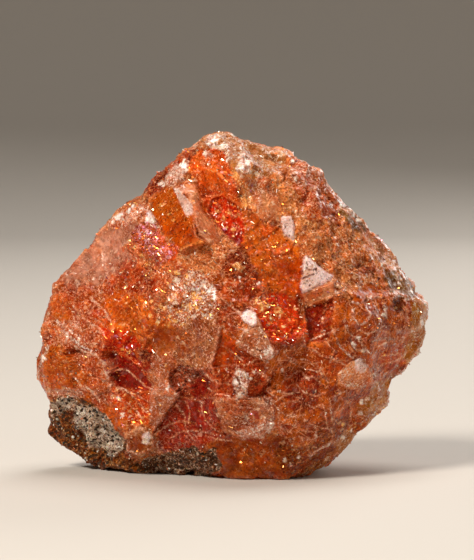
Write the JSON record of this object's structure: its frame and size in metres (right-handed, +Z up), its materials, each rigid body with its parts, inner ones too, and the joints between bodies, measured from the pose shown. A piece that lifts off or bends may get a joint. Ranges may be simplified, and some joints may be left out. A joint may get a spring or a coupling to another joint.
{
  "type": "sunstone",
  "caption": "Rough lump of sunstone, broken along flat cleavage ledges, with grey host rock grown onto its lower left corner; rests on a flat break.",
  "frame": {"origin": "middle of the lump's box at the flat break that it rests on", "axes": "+X to the right across its longest side, +Y to its back, +Z up; the side in the picture faces -Y"},
  "size_m": [0.06, 0.036, 0.0519],
  "materials": {
    "sunstone": "translucent red-orange feldspar, glassy on its cleavage faces, with coppery glitter, frosted pale edges and grey speckled host rock at the lower left"
  },
  "bodies": {
    "root": {"sunstone": "sunstone"}
  },
  "joints": []
}
